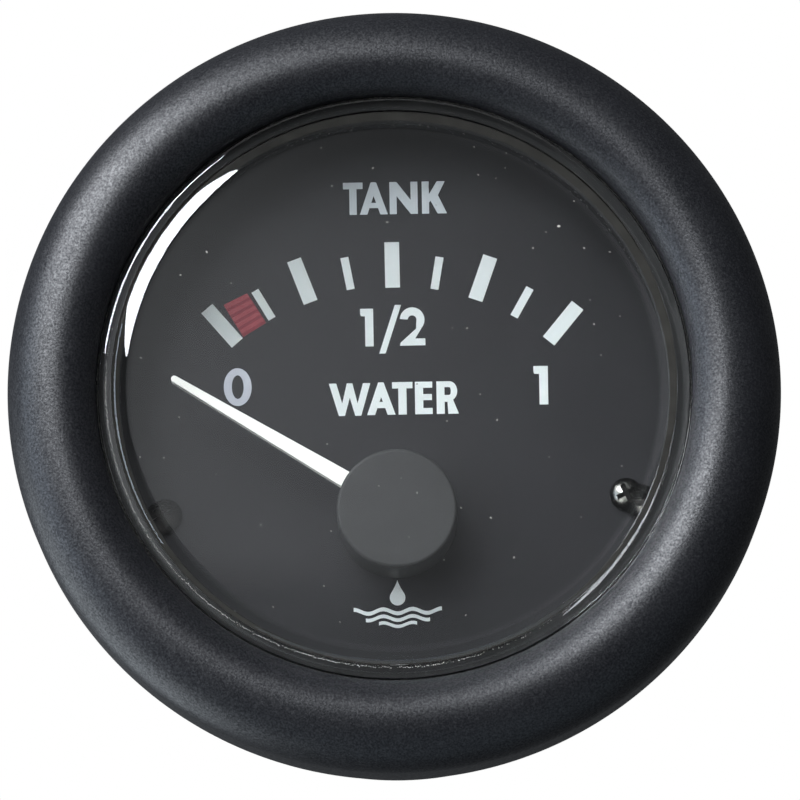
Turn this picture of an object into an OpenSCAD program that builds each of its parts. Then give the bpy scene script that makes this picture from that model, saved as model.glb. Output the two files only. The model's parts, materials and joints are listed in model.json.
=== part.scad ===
// Round panel gauge that shows the level in a water tank.
// It goes into a 52 mm panel hole from the front.
//
// Frame: the origin is on the axis of the barrel, in the plane of the panel's
// front face, which the gasket seats on. The dial faces -Y, the top of the
// dial is +Z and its right side is +X. The barrel points to +Y.
//
// Each piece is drawn in the frame of the dial: x to the right, y up and z
// towards the viewer, with z = 0 at the panel. place() turns that into the
// frame above. All sizes are in millimetres.

/* [Bezel] */
// Outside radius of the bezel ring
bezel_r = 30; // [29.8:0.1:30.6]
// Radius of the bezel's round section on the side of the lens
bezel_round_r = 3; // [2.95:0.05:3.2]
// Height of the bezel's crest over the panel
bezel_crest_z = 9; // [8.8:0.1:9.2]
// Radius of the bezel's opening round the lens
bezel_lip_r = 23.1; // [23.1:0.1:23.4]

/* [Case] */
// Radius of the barrel that goes through the panel
barrel_r = 25.9; // [25.7:0.1:25.9]
// Length of the barrel behind the panel
barrel_len = 34; // [33:0.5:40]
// Thickness of the case's back
back_t = 2.2; // [2:0.1:2.6]
// Length of the two mounting studs behind the case
stud_len = 20; // [12:1:30]

/* [Lens] */
// Radius of the raised part of the lens
lens_raised_r = 21.9; // [21.7:0.1:21.9]
// Radius of the rounded shoulder of the lens
lens_shoulder_r = 2.6; // [2.2:0.1:2.7]
// Height of the lens's front face over the panel
lens_top_z = 7.2; // [7.0:0.1:8.0]

/* [Dial] */
// Depth of the dial's face behind the panel
dial_depth = 2.2; // [2.0:0.1:2.6]
// Thickness of the dial plate
dial_t = 1; // [0.8:0.1:1.2]
// Distance of the pointer's axis below the middle of the dial
pivot_drop = 9.3; // [9.0:0.1:9.6]

/* [Pointer] */
// Length of the pointer from its axis
pointer_len = 20.4; // [18:0.1:21]
// Width of the pointer at its tip
pointer_tip_w = 0.5; // [0.4:0.05:0.8]
// Width of the pointer where it leaves the cap
pointer_root_w = 1.3; // [1.1:0.1:1.6]
// Radius of the pointer cap
cap_r = 4.66; // [4.4:0.02:5.0]
// Angle of the resting pointer, to the left of the top
pointer_rest = 58; // [40:1:70]

/* [Terminals] */
// Length of the terminals behind the case
terminal_len = 12; // [11:0.5:18]
// Radius of the thread of the terminals and studs
thread_r = 2; // [1.8:0.1:2.0]

/* [Hidden] */
$fn = 96;

// heights along the barrel, from the panel towards the viewer
gasket_t = 1;
flange_t = 1.4;
flange_z = gasket_t;
rim_z = 4.2;                    // front edge of the case, under the lens
lens_flange_t = 1.2;
seal_t = 0.6;
lip_z = rim_z + lens_flange_t + seal_t;
skirt_z = 0.4;                  // rear edge of the bezel
dial_z = -dial_depth;           // face of the dial
bridge_z = dial_z - dial_t;     // front of the bridge
bridge_t = 2;
ledge_z = bridge_z - bridge_t;  // ledge of the case under the bridge
back_z = -barrel_len;
back_in_z = back_z + back_t;

// radii
flange_r = bezel_r - 1.4;
lens_flange_r = 25.4;
lens_step_r = lens_raised_r + 0.95;
case_in_r = 24.4;
case_low_r = 23.7;
dial_r = 24.2;

// movement, measured down from the ledge
bush_z = ledge_z - 0.8;
coil_top_z = ledge_z - 1.8;
coil_t = 1.1;
bobbin_top_z = coil_top_z - 2 * coil_t;
bobbin_half = 3.8;
bobbin_mid_z = bobbin_top_z - bobbin_half;
bobbin_w = 11;
cavity_r = 4.9;
cavity_half = 2;
magnet_r = 4.3;
magnet_half = 1.5;
coil_w = 6.8;
can_r = 9.4;
can_t = 0.8;
can_bottom_z = bobbin_mid_z - bobbin_half - 2 * coil_t - 0.7 - can_t;
ear_x = 11.6;
shaft_r = 0.5;
run = 0.05;                     // radial clearance of the shaft

// board
board_t = 1.6;
board_z = can_bottom_z - 1.3;   // front face of the board
board_r = 22.5;
leg_xy = [[15.5, 9], [-15.5, 9], [13.5, -14.5], [-13.5, -14.5]];

// back of the case
lamp_y = 12;
supply_xy = [-10, -8];
sender_xy = [10, -8];
ground_xy = [0, -16];
terminal_xy = [supply_xy, sender_xy, ground_xy];
stud_x = 18;
nut_t = 3.2;
nut_r = 7 / 2 / cos(30);
washer_t = 0.8;
lock_t = 1;
fix_nut_z = back_z - washer_t;              // rear face of the flat washer
lock_z = fix_nut_z - nut_t;
wire_nut_z = lock_z - lock_t;

// dial screws, left and right of the pointer's axis
screw_xy = [[-18.1, -8.5], [17.98, -7.62]];

module place() { rotate([90, 0, 0]) children(); }
module at_pivot(z = 0) { translate([0, -pivot_drop, z]) children(); }

// a ring between two radii
module ring(r_out, r_in, z0, z1) {
    translate([0, 0, z0]) difference() {
        cylinder(r = r_out, h = z1 - z0);
        translate([0, 0, -1]) cylinder(r = r_in, h = z1 - z0 + 2);
    }
}

// a cross recess, cut down from z = 0
module cross_recess(w, len, depth) {
    for (a = [0, 90]) rotate([0, 0, a])
        translate([-len / 2, -w / 2, -depth]) cube([len, w, depth + 1]);
}

// ------------------------------------------------------------- the front

// round ring with a skirt; it snaps over the flange of the case
module bezel_section() {
    cr = bezel_lip_r + 2.85;        // radius of the crest
    outer_r = bezel_r - cr;
    pocket_r = flange_r + 0.2;
    difference() {
        union() {
            // tight round towards the lens, wide round towards the outside
            intersection() {
                translate([cr, bezel_crest_z - bezel_round_r]) circle(r = bezel_round_r);
                translate([cr - 4, 0]) square([4.01, 14]);
            }
            intersection() {
                translate([cr, bezel_crest_z - outer_r]) circle(r = outer_r);
                translate([cr, 0]) square([8, 14]);
            }
            translate([cr, skirt_z + 0.5])
                square([outer_r, bezel_crest_z - outer_r - skirt_z - 0.5]);
            translate([cr, skirt_z]) square([outer_r - 0.5, 0.6]);
            translate([bezel_r - 0.5, skirt_z + 0.5]) circle(r = 0.5);
        }
        // opening for the lens
        translate([0, -1]) square([bezel_lip_r, 14]);
        // pocket over the lens flange and its seal
        translate([0, -1]) square([lens_flange_r + 0.2, lip_z + 1]);
        // bore on the rim of the case
        translate([0, -1]) square([barrel_r + 0.1, rim_z + 1.3]);
        // pocket on the flange of the case, with a snap bead behind the flange
        polygon([[0, -1], [pocket_r, -1], [pocket_r, 0.5], [pocket_r - 0.35, 0.7],
                 [pocket_r, 0.9], [pocket_r, flange_z + flange_t + 0.05],
                 [0, flange_z + flange_t + 0.05]]);
        // groove that keeps the moulded wall even
        translate([flange_r - 1.4, 2]) square([1.2, 4.1]);
        translate([flange_r - 0.8, 6.1]) circle(r = 0.6);
    }
}

module bezel() {
    color([0.07, 0.07, 0.08]) place() rotate_extrude($fn = 180) bezel_section();
}

// flat rubber ring under the bezel's lip, with a bead beside the lens
module lens_seal() {
    x0 = lens_step_r + 0.06;
    bead_r = (bezel_lip_r - x0) / 2 - 0.005;
    color([0.03, 0.03, 0.03]) place() rotate_extrude($fn = 180) {
        translate([x0, rim_z + lens_flange_t]) square([lens_flange_r - x0, seal_t]);
        translate([x0 + bead_r, lip_z]) circle(r = bead_r);
    }
}

// a block from the axis to r, up to z, whose edge rounds off from x on
module rounded_block(r, z, x, round_r) {
    intersection() {
        translate([0, rim_z]) square([r, z - rim_z]);
        union() {
            translate([0, rim_z]) square([x, z - rim_z]);
            translate([x, z - round_r]) circle(r = round_r);
        }
    }
}

// clear disc: a raised front with a soft shoulder, a low step and a flange;
// a shallow recess behind takes the top of the shroud
module lens() {
    color([0.8, 0.9, 0.95, 0.35]) place() rotate_extrude($fn = 180)
        difference() {
            union() {
                translate([0, rim_z]) square([lens_flange_r, lens_flange_t]);
                rounded_block(lens_raised_r, lens_top_z, lens_raised_r - 1.46, lens_shoulder_r);
                rounded_block(lens_step_r, rim_z + 2.22, lens_step_r - 0.43, 0.8);
            }
            translate([-1, rim_z - 1]) square([22.6, 1.8]);
        }
}

// dark wall between the dial and the lens; its top stands in the lens's recess
// with a rounded inner edge, a narrow groove and an outer rib
module inner_shroud() {
    edge_z = rim_z + 0.45;
    color([0.12, 0.12, 0.12]) place() rotate_extrude($fn = 180) {
        polygon([[23.55, dial_z], [24.3, dial_z], [24.3, rim_z], [21.5, rim_z],
                 [21.5, rim_z + 0.52], [21.3, rim_z + 0.52], [21.3, rim_z + 0.3],
                 [21.24, rim_z + 0.3], [21.24, edge_z], [20.98, edge_z],
                 [20.98, rim_z - 0.6], [23.55, rim_z - 1.3]]);
        translate([21.4, rim_z + 0.52]) circle(r = 0.1);
        intersection() {
            translate([21.18, edge_z]) circle(r = 0.2);
            translate([20.9, edge_z - 0.1]) square([0.34, 0.5]);
        }
    }
}

module dial() {
    color([0.16, 0.16, 0.16]) place() difference() {
        translate([0, 0, bridge_z]) cylinder(r = dial_r, h = dial_t);
        at_pivot(bridge_z - 1) cylinder(r = 2.4, h = dial_t + 2);
        for (p = screw_xy) translate([p[0], p[1], bridge_z - 1])
            cylinder(r = 1.05, h = dial_t + 2);
    }
}

// two pan head screws that hold the dial on the bridge
module dial_screw() {
    difference() {
        union() {
            intersection() {
                translate([0, 0, -0.6]) sphere(r = 1.62);
                cylinder(r = 1.28, h = 2);
            }
            translate([0, 0, -5.2]) cylinder(r = 0.95, h = 5.3);
        }
        translate([0, 0, 0.95]) cross_recess(0.4, 1.6, 0.6);
    }
}

module dial_screws() {
    color([0.45, 0.45, 0.47]) place()
        for (p = screw_xy) translate([p[0], p[1], dial_z])
            rotate([0, 0, 25]) dial_screw();
}

// ----------------------------------------------------------- the pointer

blade_top_z = rim_z - 0.9;
blade_t = 1.1;
cap_top_z = rim_z - 0.4;
cap_bottom_z = dial_z + 0.8;

// tapered blade with a round tip and a boss that grips the hub
module blade_outline(grow = 0) {
    w0 = pointer_root_w / 2 + 0.1 + grow;
    w1 = pointer_tip_w / 2 + grow;
    polygon([[-w0, 0], [w0, 0], [w1, pointer_len - pointer_tip_w / 2],
             [-w1, pointer_len - pointer_tip_w / 2]]);
}

module pointer() {
    color([0.95, 0.95, 0.93]) place() at_pivot() rotate([0, 0, pointer_rest])
        difference() {
            union() {
                translate([0, 0, blade_top_z - blade_t]) linear_extrude(blade_t)
                    blade_outline();
                translate([0, pointer_len - pointer_tip_w / 2, blade_top_z - blade_t])
                    cylinder(r = pointer_tip_w / 2, h = blade_t, $fn = 48);
                translate([0, 0, blade_top_z - 3]) cylinder(r = 2.3, h = 3);
            }
            translate([0, 0, blade_top_z - 4]) cylinder(r = 1.11, h = 3.4);
        }
}

// cup that covers the boss, with a notch for the blade
module pointer_cap() {
    edge = 0.25;
    color([0.2, 0.2, 0.21]) place() at_pivot() rotate([0, 0, pointer_rest])
        difference() {
            union() {
                translate([0, 0, cap_bottom_z])
                    cylinder(r = cap_r, h = cap_top_z - edge - cap_bottom_z);
                translate([0, 0, cap_bottom_z])
                    cylinder(r = cap_r - edge, h = cap_top_z - cap_bottom_z);
                translate([0, 0, cap_top_z - edge])
                    rotate_extrude() translate([cap_r - edge, 0]) circle(r = edge, $fn = 48);
            }
            difference() {
                translate([0, 0, cap_bottom_z - 1])
                    cylinder(r = cap_r - 0.7, h = blade_top_z - cap_bottom_z + 1);
                ring(3, 1.5, blade_top_z - 2.6, blade_top_z + 1);
            }
            translate([0, 0, blade_top_z - 3]) cylinder(r = 2.32, h = 3);
            translate([0, 0, cap_bottom_z - 1])
                linear_extrude(blade_top_z - cap_bottom_z + 1) intersection() {
                    blade_outline(0.02);
                    translate([-2, 0]) square([4, cap_r + 1]);
                }
        }
}

// knurled brass bush pressed on the shaft
module pointer_hub() {
    z0 = blade_top_z - 4.4;
    color([0.8, 0.65, 0.3]) place() at_pivot() difference() {
        union() {
            translate([0, 0, z0]) cylinder(r = 1.1, h = blade_top_z - 0.6 - z0);
            translate([0, 0, z0]) cylinder(r = 1.8, h = 0.8);
        }
        translate([0, 0, z0 - 1]) cylinder(r = shaft_r + 0.01, h = 8);
    }
}

module pointer_shaft() {
    z0 = bobbin_mid_z - bobbin_half - 1.4;
    color([0.75, 0.75, 0.78]) place() at_pivot(z0)
        cylinder(r = shaft_r, h = blade_top_z - 0.8 - z0);
}

// magnet disc pressed on the shaft
module rotor_magnet() {
    color([0.25, 0.25, 0.27]) place() at_pivot()
        ring(magnet_r, shaft_r + 0.01, bobbin_mid_z - magnet_half, bobbin_mid_z + magnet_half);
}

// ---------------------------------------------------------- the movement

// bush in the bridge that carries the shaft
module front_bearing() {
    color([0.8, 0.65, 0.3]) place() at_pivot() {
        ring(2, shaft_r + run, bush_z, dial_z + 0.4);
    }
}

module bobbin_block(z0, z1) {
    translate([-bobbin_w / 2, -bobbin_w / 2, z0]) cube([bobbin_w, bobbin_w, z1 - z0]);
}

// front half of the winding former, with its neck
module upper_bobbin() {
    color([0.85, 0.85, 0.8]) place() at_pivot() difference() {
        union() {
            bobbin_block(bobbin_mid_z, bobbin_top_z);
            translate([0, 0, bobbin_top_z - 1]) cylinder(r = 1.5, h = bush_z - bobbin_top_z + 1);
        }
        translate([0, 0, bobbin_mid_z - 1]) cylinder(r = cavity_r, h = cavity_half + 1);
        translate([0, 0, bobbin_mid_z - 1]) cylinder(r = shaft_r + run, h = 12);
    }
}

// rear half of the winding former, with the blind bearing of the shaft
module lower_bobbin() {
    z0 = bobbin_mid_z - bobbin_half;
    color([0.85, 0.85, 0.8]) place() at_pivot() difference() {
        union() {
            bobbin_block(z0, bobbin_mid_z);
            translate([0, 0, can_bottom_z + can_t])
                cylinder(r = 1.5, h = z0 - can_bottom_z - can_t + 1);
        }
        translate([0, 0, bobbin_mid_z - cavity_half]) cylinder(r = cavity_r, h = cavity_half + 1);
        translate([0, 0, z0 - 1.7]) cylinder(r = shaft_r + run, h = 8);
    }
}

// one winding: a rectangular loop round the former, parted round its neck
module winding(half_z_in) {
    difference() {
        translate([-bobbin_w / 2 - coil_t, -coil_w / 2, -half_z_in - coil_t])
            cube([bobbin_w + 2 * coil_t, coil_w, 2 * (half_z_in + coil_t)]);
        translate([-bobbin_w / 2, -coil_w / 2 - 1, -half_z_in])
            cube([bobbin_w, coil_w + 2, 2 * half_z_in]);
        translate([0, 0, -20]) cylinder(r = 1.55, h = 40);
    }
}

module cross_coil_inner() {
    color([0.72, 0.35, 0.15]) place() at_pivot(bobbin_mid_z)
        winding(bobbin_half);
}

module cross_coil_outer() {
    color([0.75, 0.4, 0.18]) place() at_pivot(bobbin_mid_z)
        rotate([0, 0, 90]) winding(bobbin_half + coil_t);
}

// small magnet that brings the pointer back
module return_magnet() {
    color([0.3, 0.3, 0.32]) place()
        at_pivot(bobbin_mid_z - bobbin_half - 2.2)
            translate([4.5, 4.5, 0]) cylinder(r = 0.9, h = 2.2);
}

// steel can round the movement, with two ears for its screws
module magnetic_shield() {
    color([0.6, 0.6, 0.62]) place() at_pivot() difference() {
        union() {
            translate([0, 0, can_bottom_z]) cylinder(r = can_r, h = ledge_z - can_bottom_z);
            for (s = [-1, 1]) {
                translate([s * ear_x, 0, ledge_z - 0.8]) cylinder(r = 2.2, h = 0.8);
                translate([s > 0 ? 0 : -ear_x, -2.2, ledge_z - 0.8]) cube([ear_x, 4.4, 0.8]);
            }
        }
        translate([0, 0, can_bottom_z + can_t]) cylinder(r = can_r - can_t, h = 40);
        for (s = [-1, 1]) translate([s * ear_x, 0, ledge_z - 2]) cylinder(r = 1.1, h = 4);
    }
}

// chassis plate: it carries the dial, the movement and the board
module movement_bridge() {
    color([0.2, 0.2, 0.2]) place() difference() {
        union() {
            translate([0, 0, ledge_z]) cylinder(r = dial_r, h = bridge_t);
            for (p = leg_xy) translate([p[0], p[1], board_z])
                cylinder(r = 1.8, h = ledge_z - board_z + 1);
            for (p = screw_xy) translate([p[0], p[1], ledge_z - 2.6])
                cylinder(r = 2, h = 3.6);
        }
        at_pivot(ledge_z - 1) cylinder(r = 2.02, h = 5);
        for (p = screw_xy) translate([p[0], p[1], ledge_z - 4]) cylinder(r = 1, h = 8);
        for (s = [-1, 1]) at_pivot() translate([s * ear_x, 0, ledge_z - 1])
            cylinder(r = 0.95, h = 2.6);
        for (p = leg_xy) translate([p[0], p[1], board_z - 1]) cylinder(r = 0.95, h = 9);
        // windows that let the lamp shine on the back of the dial
        for (p = [[0, 13], [-10, 10.5], [10, 10.5]])
            translate([p[0], p[1], ledge_z - 1]) cylinder(r = 3.6, h = 5);
    }
}

// a small pan head screw that points towards the viewer
module rear_screw(head_r, head_h, shank_r, len) {
    difference() {
        union() {
            cylinder(r = shank_r, h = len);
            translate([0, 0, -head_h]) cylinder(r = head_r, h = head_h);
        }
        translate([0, 0, -head_h]) mirror([0, 0, 1]) cross_recess(0.4, head_r * 1.3, head_h * 0.6);
    }
}

module movement_screws() {
    color([0.7, 0.7, 0.72]) place() at_pivot()
        for (s = [-1, 1]) translate([s * ear_x, 0, ledge_z - 0.8])
            rear_screw(1.8, 1.2, 0.9, 2.2);
}

// ------------------------------------------------------------- the board

module circuit_board() {
    color([0.1, 0.35, 0.2]) place() difference() {
        translate([0, 0, board_z - board_t]) cylinder(r = board_r, h = board_t);
        translate([0, lamp_y, board_z - board_t - 1]) cylinder(r = 6.6, h = board_t + 2);
        translate([-6.6, lamp_y, board_z - board_t - 1]) cube([13.2, 20, board_t + 2]);
        for (p = leg_xy) translate([p[0], p[1], board_z - board_t - 1])
            cylinder(r = 1.05, h = board_t + 2);
    }
}

module board_screws() {
    color([0.7, 0.7, 0.72]) place()
        for (p = leg_xy) translate([p[0], p[1], board_z - board_t])
            rear_screw(1.8, 1.3, 0.9, 6.5);
}

// two block resistors that stand on their leads
module calibration_resistors() {
    color([0.85, 0.83, 0.78]) place()
        for (s = [-1, 1]) translate([s * 6.4, 2.8, board_z]) {
            translate([-4, -1.3, 0.5]) cube([8, 2.6, 2.6]);
            for (e = [-1, 1]) translate([e * 2.8, 0, 0]) cylinder(r = 0.3, h = 1, $fn = 24);
        }
}

// -------------------------------------------------------------- the case

module case_section() {
    difference() {
        union() {
            translate([0, back_z + 0.8]) square([barrel_r, rim_z - back_z - 0.8]);
            translate([0, back_z]) square([barrel_r - 0.8, 2]);
            translate([barrel_r - 0.8, back_z + 0.8]) circle(r = 0.8);
            translate([0, 0]) square([barrel_r + 0.4, gasket_t]);
            translate([0, flange_z]) square([flange_r, flange_t]);
        }
        translate([-1, ledge_z]) square([case_in_r + 1, 40]);
        translate([-1, back_in_z]) square([case_low_r + 1, 60]);
    }
}

// cup with a flange; its back carries the terminals, the lamp and the studs
module case() {
    color([0.09, 0.09, 0.1]) place() difference() {
        union() {
            rotate_extrude($fn = 180) case_section();
            // raised pads round the terminals, inside
            for (p = terminal_xy) translate([p[0], p[1], back_in_z - 0.5])
                cylinder(r = 4.4, h = 1.3);
            for (s = [-1, 1]) translate([s * stud_x, 0, back_in_z - 0.5])
                cylinder(r = 4.4, h = 1.3);
        }
        for (p = terminal_xy) translate([p[0], p[1], back_z - 1])
            cylinder(r = thread_r + 0.05, h = 8);
        for (s = [-1, 1]) translate([s * stud_x, 0, back_z - 1]) cylinder(r = 2.62, h = 8);
        translate([0, lamp_y, back_z - 1]) cylinder(r = 6, h = 8);
        // two notches for the lugs of the lamp holder
        translate([-7.3, lamp_y - 1.6, back_z - 1]) cube([14.6, 3.2, 8]);
    }
}

module panel_gasket() {
    color([0.05, 0.05, 0.05]) place() ring(28.1, barrel_r + 0.5, 0, gasket_t);
}

// two studs with a collar moulded into the back of the case
module mounting_studs() {
    color([0.72, 0.72, 0.7]) place()
        for (s = [-1, 1]) translate([s * stud_x, 0, 0]) {
            translate([0, 0, back_z]) cylinder(r = 2.6, h = back_t + 0.8);
            translate([0, 0, back_in_z + 0.8]) cylinder(r = 4, h = 1.2);
            translate([0, 0, back_z - stud_len + 0.5]) cylinder(r = thread_r, h = stud_len - 0.4);
            translate([0, 0, back_z - stud_len])
                cylinder(r1 = thread_r - 0.5, r2 = thread_r, h = 0.5);
        }
}

// ---------------------------------------------------------- the terminals

// stud with a square head inside the case, soldered to the board
module terminal(p) {
    z_end = back_z - terminal_len;
    color([0.8, 0.68, 0.35]) place() translate([p[0], p[1], 0]) {
        translate([0, 0, z_end + 0.5])
            cylinder(r = thread_r, h = board_z - board_t - z_end - 0.5);
        translate([0, 0, z_end]) cylinder(r1 = thread_r - 0.5, r2 = thread_r, h = 0.5);
        translate([-3, -3, back_in_z + 0.8]) cube([6, 6, 1.4]);
    }
}

module terminal_supply() { terminal(supply_xy); }
module terminal_sender() { terminal(sender_xy); }
module terminal_ground() { terminal(ground_xy); }

module terminal_washers() {
    color([0.75, 0.75, 0.75]) place()
        for (p = terminal_xy) translate([p[0], p[1], 0])
            ring(4.5, thread_r + 0.15, fix_nut_z, back_z);
}

// split rings between the two nuts of a terminal
module terminal_lock_washers() {
    color([0.7, 0.7, 0.7]) place()
        for (p = terminal_xy) translate([p[0], p[1], 0]) difference() {
            ring(3.5, thread_r + 0.15, wire_nut_z, lock_z);
            translate([0, -0.3, wire_nut_z - 1]) rotate([0, 12, 0]) cube([6, 0.6, 4]);
        }
}

// hexagon nut with chamfered corners
module hex_nut(z_top) {
    translate([0, 0, z_top - nut_t]) difference() {
        intersection() {
            cylinder(r = nut_r, h = nut_t, $fn = 6);
            union() {
                cylinder(r1 = nut_r - 0.45, r2 = nut_r + 0.05, h = 0.5);
                translate([0, 0, 0.5]) cylinder(r = nut_r + 0.05, h = nut_t - 1);
                translate([0, 0, nut_t - 0.5])
                    cylinder(r1 = nut_r + 0.05, r2 = nut_r - 0.45, h = 0.5);
            }
        }
        translate([0, 0, -1]) cylinder(r = thread_r + 0.02, h = nut_t + 2);
    }
}

module terminal_nuts() {
    color([0.8, 0.68, 0.35]) place()
        for (i = [0:2]) translate([terminal_xy[i][0], terminal_xy[i][1], 0]) {
            rotate([0, 0, 10 + 17 * i]) hex_nut(fix_nut_z);
            rotate([0, 0, 41 - 13 * i]) hex_nut(wire_nut_z);
        }
}

// --------------------------------------------------------------- the lamp

// socket that twists into the back of the case
module lamp_holder() {
    color([0.88, 0.87, 0.82]) place() translate([0, lamp_y, 0]) difference() {
        union() {
            translate([0, 0, back_z - 1]) cylinder(r = 5.7, h = back_t + 7);
            translate([0, 0, back_z - 1.4]) cylinder(r = 7.4, h = 1.4);
            translate([0, 0, back_z - 4]) cylinder(r = 4.6, h = 4);
            translate([-6.6, -1.1, back_z - 4]) cube([13.2, 2.2, 3]);
            // lugs behind the case's back, turned away from its notches
            rotate([0, 0, 60]) intersection() {
                translate([-7, -1.4, back_in_z + 0.05]) cube([14, 2.8, 1.2]);
                translate([0, 0, back_in_z]) cylinder(r = 7, h = 2);
            }
        }
        // mouth for the bulb
        translate([0, 0, back_z + 1]) cylinder(r = 2.7, h = 20);
        // slots for the contacts
        for (s = [-1, 1]) translate([s * 2.6 - 0.25, -1.4, back_z - 5])
            cube([0.5, 2.8, back_t + 11]);
    }
}

// two thin blades that grip the bulb's wires and stick out at the back
module lamp_contacts() {
    color([0.8, 0.68, 0.35]) place() translate([0, lamp_y, 0])
        for (s = [-1, 1]) translate([s * 2.6 - 0.25, -1.4, back_z - 9])
            cube([0.5, 2.8, back_t + 13]);
}

module lamp_bulb() {
    z0 = back_z + 1;
    color([0.9, 0.92, 0.9, 0.6]) place() translate([0, lamp_y, 0]) {
        translate([-2.3, -1.1, z0]) cube([4.6, 2.2, 6.4]);
        translate([0, 0, z0 + 6]) cylinder(r = 2.5, h = 5.5);
        translate([0, 0, z0 + 11.5]) sphere(r = 2.5);
    }
}

bezel();
lens_seal();
lens();
inner_shroud();
dial();
dial_screws();
pointer();
pointer_cap();
pointer_hub();
pointer_shaft();
rotor_magnet();
front_bearing();
upper_bobbin();
lower_bobbin();
cross_coil_inner();
cross_coil_outer();
return_magnet();
magnetic_shield();
movement_bridge();
movement_screws();
circuit_board();
board_screws();
calibration_resistors();
case();
panel_gasket();
terminal_supply();
terminal_sender();
terminal_ground();
terminal_washers();
terminal_lock_washers();
terminal_nuts();
lamp_holder();
lamp_contacts();
lamp_bulb();
mounting_studs();
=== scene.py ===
import json
import math
import random

import bpy
import bmesh
from mathutils import Matrix, Vector


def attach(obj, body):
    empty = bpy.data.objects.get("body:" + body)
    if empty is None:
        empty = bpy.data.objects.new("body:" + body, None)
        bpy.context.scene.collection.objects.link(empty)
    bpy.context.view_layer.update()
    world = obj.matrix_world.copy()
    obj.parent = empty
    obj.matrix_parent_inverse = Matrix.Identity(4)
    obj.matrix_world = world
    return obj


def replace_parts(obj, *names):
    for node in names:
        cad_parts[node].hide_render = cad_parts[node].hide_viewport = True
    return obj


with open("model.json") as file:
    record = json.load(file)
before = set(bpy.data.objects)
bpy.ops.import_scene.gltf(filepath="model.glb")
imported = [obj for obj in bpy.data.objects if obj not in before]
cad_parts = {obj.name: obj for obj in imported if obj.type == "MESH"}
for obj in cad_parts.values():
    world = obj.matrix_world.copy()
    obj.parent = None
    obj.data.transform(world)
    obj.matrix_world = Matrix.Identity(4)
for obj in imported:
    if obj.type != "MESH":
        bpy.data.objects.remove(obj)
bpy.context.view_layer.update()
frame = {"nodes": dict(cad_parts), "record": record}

NODES = frame["nodes"]
HOUSING, NEEDLE = "housing", "pointer_assembly"


def P(x, y, z):
    """A point of the dial's frame in mm (x right, y up, z to the viewer), in metres."""
    return Vector((x, -z, y)) / 1000.0


# ------------------------------------------------------------------ camera
CAM_D, CAM_EL, CAM_ROLL = 0.420, math.radians(-11.0), math.radians(1.3)
F_PX = 5350.0                       # focal length in pixels of the 800 px frame

fwd = Vector((0, math.cos(CAM_EL), -math.sin(CAM_EL)))
right0 = Vector((1, 0, 0))
up0 = right0.cross(fwd)
right = right0 * math.cos(CAM_ROLL) - up0 * math.sin(CAM_ROLL)
up = up0 * math.cos(CAM_ROLL) + right0 * math.sin(CAM_ROLL)
cam_pos = -fwd * CAM_D + right * 0.00043 + up * 0.00008

cam_data = bpy.data.cameras.new("camera")
cam_data.sensor_width = 36.0
cam_data.lens = F_PX * 36.0 / 800.0
cam_data.clip_start, cam_data.clip_end = 0.01, 20.0
cam = bpy.data.objects.new("camera", cam_data)
bpy.context.scene.collection.objects.link(cam)
rot = Matrix((right, up, -fwd)).transposed()
cam.matrix_world = Matrix.Translation(cam_pos) @ rot.to_4x4()
bpy.context.scene.camera = cam

REFRACTION_PX = 1.85                # the flat lens lifts what is under it


def on_plane(u, v, z):
    """The point (x, y) in mm of the plane at height z that shows at pixel (u, v)."""
    if z < 4:
        v = v + REFRACTION_PX
    ray = fwd + right * ((u - 400.0) / F_PX) - up * ((v - 400.0) / F_PX)
    t = (-z / 1000.0 - cam_pos.y) / ray.y
    q = cam_pos + ray * t
    return q.x * 1000.0, q.z * 1000.0


# ------------------------------------------------------------------ helpers
def link(ob):
    bpy.context.scene.collection.objects.link(ob)
    return ob


def new_mesh(name, bm, material, body, smooth=30.0):
    bmesh.ops.remove_doubles(bm, verts=bm.verts, dist=1e-8)
    bmesh.ops.recalc_face_normals(bm, faces=bm.faces)
    me = bpy.data.meshes.new(name)
    bm.to_mesh(me)
    bm.free()
    ob = link(bpy.data.objects.new(name, me))
    me.materials.append(material)
    if smooth:
        for p in me.polygons:
            p.use_smooth = True
        me.set_sharp_from_angle(angle=math.radians(smooth))
    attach(ob, body)
    return ob


def filled(name, loops, z0, z1, material, body=HOUSING):
    """A flat plate from outlines in mm (holes are inner loops), between z0 and z1."""
    cu = bpy.data.curves.new(name + "_outline", "CURVE")
    cu.dimensions = "2D"
    cu.fill_mode = "BOTH"
    for pts in loops:
        sp = cu.splines.new("POLY")
        sp.points.add(len(pts) - 1)
        for k, (x, y) in enumerate(pts):
            sp.points[k].co = (x, y, 0, 1)
        sp.use_cyclic_u = True
    cu.extrude = (z1 - z0) / 2
    tmp = bpy.data.objects.new(name + "_outline", cu)
    link(tmp)
    bpy.context.view_layer.update()
    me = bpy.data.meshes.new_from_object(tmp.evaluated_get(bpy.context.evaluated_depsgraph_get()))
    bpy.data.objects.remove(tmp)
    bpy.data.curves.remove(cu)
    bm = bmesh.new()
    bm.from_mesh(me)
    bpy.data.meshes.remove(me)
    mid = (z0 + z1) / 2
    for vert in bm.verts:
        vert.co = P(vert.co.x, vert.co.y, vert.co.z + mid)
    return new_mesh(name, bm, material, body, smooth=0)


def rounded(cx, cz, r, t0, t1, n=12):
    """Points of an arc; t is the tilt of its outward normal from the front, in degrees."""
    return [(cx + r * math.sin(math.radians(t0 + (t1 - t0) * k / n)),
             cz + r * math.cos(math.radians(t0 + (t1 - t0) * k / n))) for k in range(n + 1)]


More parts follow.
